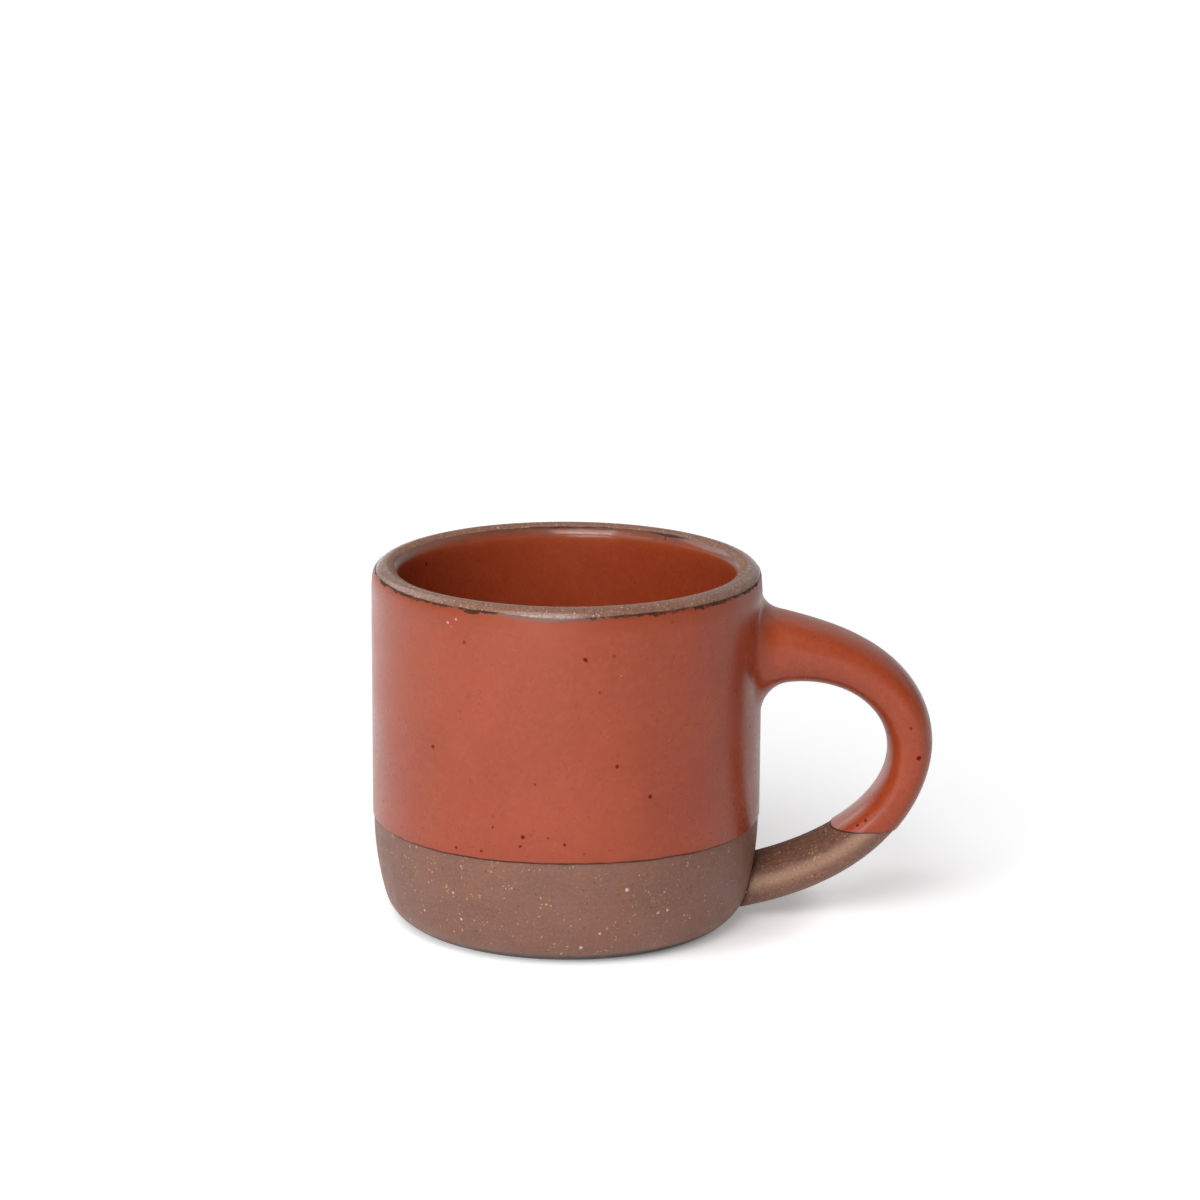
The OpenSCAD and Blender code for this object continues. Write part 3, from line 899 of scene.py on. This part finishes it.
def make_glaze_strap():
    edge = STRAP_DIP_H - STRAP_SAG + wander(SEC_Q, STRAP_WANDER)
    ends = solve(*DIP_RANGE, lambda t: edge - strap(t, COAT)[:, 2])
    lines, left = strap_lines(COAT, ends, STRAP_COAT_ROWS)
    # More rows towards the dip line, where the edge rolls over
    keep = left.min(1) > EDGE_ROWS
    last, goal, rest = lines[keep][-1], lines[-1], left[keep][-1]
    tail = goal + (last - goal) * (EDGE_STEPS / rest)[..., None]
    lines = np.concatenate([lines[keep], tail])
    left = np.vstack([left[keep], np.repeat(EDGE_STEPS, SIDES, 1)])
    normal = unit(np.cross(np.roll(lines, -1, 1) - np.roll(lines, 1, 1), np.gradient(lines, axis=0)))
    middle = lines.mean(1, keepdims=True)
    normal *= np.sign((normal * (lines - middle)).sum(-1, keepdims=True))
    drop = COAT * (1 - quarter_round(left, EDGE_ROLL))
    outer = lines - normal * drop[..., None]
    pick = np.linspace(len(lines) - 1, 1, 60).astype(int)
    inner = lines[pick] - normal[pick] * (COAT + UNDER)
    rows = np.concatenate([outer, inner])
    gap = np.vstack([left, left[pick]])
    none = np.full_like(gap, FAR)
    # Pale painted reflection of the floor on the strap's inner face, stored under the attribute inner
    reflected = np.repeat(smooth(-SEC_V, REFLECTION_FROM, REFLECTION_TO)[None, :], len(rows), 0)
    data = {"rim_gap": none, "line_gap": none, "dip_gap": gap, "inner": reflected}
    return grid("glaze_strap", rows, GLAZE, loop=True, data=data)


PIECES = (
    (make_cup, "cup_body", "stoneware"),
    (make_strap_clay, "handle", "stoneware"),
    (make_slip_upper, "upper_slip_joint", "slip"),
    (make_slip_lower, "lower_slip_joint", "slip"),
    (make_glaze_wall, "outer_glaze", "glaze"),
    (make_glaze_liner, "inner_glaze", "glaze"),
    (make_glaze_strap, "handle_glaze", "glaze"))
for make, node, slot in PIECES:
    piece = make()
    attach(piece, "root")
    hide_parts(node)


# Floor, world and lamps
# Share of the white that gloss sees on the right
DIM = 0.45
# Where that share comes in, from left to right: in metres on the floor, and as a direction in the backdrop
FLOOR_SIDES, WORLD_SIDES = (-0.10, 0.15), (-0.4, 0.6)
# Half the floor's width, in metres
FLOOR_HALF = 6.0
# The floor's glow at the foot, near the mug and far away, and the metres over which each comes in; the
# weaker glow at the foot and near the mug is a painted shadow
GLOW_FOOT, GLOW_NEAR, GLOW_FAR = 0.28, 0.49, 1.00
FOOT_SPAN, NEAR_SPAN, FAR_SPAN = (0.0332, 0.0370), (0.035, 0.048), (0.12, 0.80)
# Centres of the painted shadows: the dark one at the foot and the softer one round it lie to the right,
# away from the lamps
FOOT_SHADOW_AT, NEAR_SHADOW_AT = (0.0012, 0, 0), (0.016, 0.006, 0)
# The paint under the foot, dark as a painted contact shadow, and elsewhere
SHADOW_PAINT, PAINT = 0.10, 0.92
# Levels at the horizon and overhead, for rays that see the backdrop and for the light that it gives,
# and the sines of the heights between which they change
WORLD_SEEN, WORLD_FILL, WORLD_RISE = (1.0, 0.47), (0.0, 0.0), (0.0, 0.30)
# Softboxes round the mug: turn from the front and height in degrees, width and height in metres, watts
SOFTBOXES = {
    "key_softbox": (-14, 40, 0.75, 0.45, 7.0),
    "high_softbox": (-22, 60, 0.80, 0.55, 5.2),
    "low_softbox": (-15, 12, 0.62, 0.35, 2.8),
    "side_softbox": (-50, 30, 0.60, 0.50, 1.1),
    "back_softbox": (-130, 36, 0.90, 0.70, 2.8),
    "edge_softbox": (135, 35, 1.30, 1.00, 1.3)}
LAMP_DISTANCE, AIM = 1.3, Vector((0.0, 0.0, 0.045))


def lit_rays(nodes, across, start, stop):
    """1 for rays from the camera, 1 on the left to DIM on the right for gloss and glass, 0 for others."""
    ray = nodes.node("ShaderNodeLightPath").outputs
    gloss = nodes.math("ADD", ray["Is Glossy Ray"], ray["Is Transmission Ray"], clamp=True)
    side = nodes.span(across, start, stop, 1.0, DIM)
    return nodes.math("MULTIPLY_ADD", gloss, side, ray["Is Camera Ray"], clamp=True)


def floor_material():
    """White paint that glows up to the backdrop's white away from the mug, and doesn't under its heel, with
    a painted shadow: dark paint under the heel and less glow round the foot.
    """
    mat = bpy.data.materials.new("white_floor")
    mat.use_nodes = True
    nodes = Nodes(mat.node_tree)
    nodes.tree.nodes.clear()
    place = nodes.node("ShaderNodeTexCoord").outputs["Object"]
    from_foot, from_near = nodes.distance(place, FOOT_SHADOW_AT), nodes.distance(place, NEAR_SHADOW_AT)
    level = nodes.span(from_foot, *FOOT_SPAN, 0.0, GLOW_FOOT)
    level = nodes.math("ADD", level, nodes.span(from_near, *NEAR_SPAN, 0.0, GLOW_NEAR - GLOW_FOOT))
    level = nodes.math("ADD", level, nodes.span(from_near, *FAR_SPAN, 0.0, GLOW_FAR - GLOW_NEAR))
    lit = lit_rays(nodes, nodes.axes(place)["X"], *FLOOR_SIDES)
    paint = nodes.node("ShaderNodeBsdfDiffuse")
    nodes.put(paint.inputs["Color"], nodes.span(from_foot, *FOOT_SPAN, SHADOW_PAINT, PAINT))
    glow = nodes.node("ShaderNodeEmission")
    nodes.put(glow.inputs["Strength"], nodes.math("MULTIPLY", lit, level))
    both = nodes.node("ShaderNodeAddShader")
    nodes.put(both.inputs[0], paint.outputs[0])
    nodes.put(both.inputs[1], glow.outputs[0])
    out = nodes.node("ShaderNodeOutputMaterial")
    nodes.put(out.inputs["Surface"], both.outputs[0])
    return mat


def make_floor():
    corners = [(x * FLOOR_HALF, y * FLOOR_HALF, 0) for x, y in ((-1, -1), (1, -1), (1, 1), (-1, 1))]
    mesh = bpy.data.meshes.new("floor")
    mesh.from_pydata(corners, [], [(0, 1, 2, 3)])
    mesh.materials.append(floor_material())
    floor = bpy.data.objects.new("floor", mesh)
    bpy.context.scene.collection.objects.link(floor)


def make_world():
    """A white backdrop that darkens overhead, with its own level for the light that it gives."""
    world = bpy.data.worlds.new("studio")
    bpy.context.scene.world = world
    world.use_nodes = True
    nodes = Nodes(world.node_tree)
    way = nodes.axes(nodes.node("ShaderNodeTexCoord").outputs["Generated"])
    seen = nodes.span(way["Z"], *WORLD_RISE, *WORLD_SEEN)
    fill = nodes.span(way["Z"], *WORLD_RISE, *WORLD_FILL)
    lit = lit_rays(nodes, way["X"], *WORLD_SIDES)
    back = nodes.tree.nodes["Background"]
    nodes.put(back.inputs["Strength"], nodes.span(lit, 0.0, 1.0, fill, seen))
    back.inputs["Color"].default_value = (1, 1, 1, 1)


def make_lamp(name, around, rise, wide, tall, watts):
    """A softbox at a turn and a height in degrees, aimed at the mug and hidden from the camera."""
    around, rise = math.radians(around), math.radians(rise)
    way = Vector((math.cos(rise) * math.sin(around), -math.cos(rise) * math.cos(around), math.sin(rise)))
    lamp = bpy.data.lights.new(name, "AREA")
    lamp.shape = "RECTANGLE"
    lamp.size, lamp.size_y, lamp.energy = wide, tall, watts
    obj = bpy.data.objects.new(name, lamp)
    obj.location = AIM + LAMP_DISTANCE * way
    obj.rotation_euler = (-way).to_track_quat("-Z", "Y").to_euler()
    obj.visible_camera = False
    bpy.context.scene.collection.objects.link(obj)


make_floor()
make_world()
for lamp_name, settings in SOFTBOXES.items():
    make_lamp(lamp_name, *settings)


# Camera at the photograph's viewing angle: focal length and image width in pixels, sensor width in
# millimetres, distance in metres and angles in degrees
FOCAL, IMAGE, SENSOR = 4210.2, 1200, 36
DISTANCE, ELEVATION, PITCH, YAW, ROLL = 0.979, 18.304, 14.084, 0.463, 0.322


def make_camera():
    e, pitch, yaw, roll = (math.radians(a) for a in (ELEVATION, PITCH, YAW, ROLL))
    ahead = Vector((math.sin(yaw) * math.cos(pitch), math.cos(yaw) * math.cos(pitch), -math.sin(pitch)))
    right = Vector((math.cos(yaw), -math.sin(yaw), 0))
    up = right.cross(ahead)
    x = math.cos(roll) * right + math.sin(roll) * up
    y = math.cos(roll) * up - math.sin(roll) * right
    data = bpy.data.cameras.new("camera")
    data.sensor_width = SENSOR
    data.lens = SENSOR * FOCAL / IMAGE
    data.clip_start, data.clip_end = 0.01, 50
    obj = bpy.data.objects.new("camera", data)
    place = Vector((0, -DISTANCE * math.cos(e), DISTANCE * math.sin(e)))
    obj.matrix_world = Matrix.Translation(place) @ Matrix((x, y, -ahead)).transposed().to_4x4()
    bpy.context.scene.collection.objects.link(obj)
    bpy.context.scene.camera = obj


make_camera()
bpy.context.scene.view_settings.view_transform = "Standard"
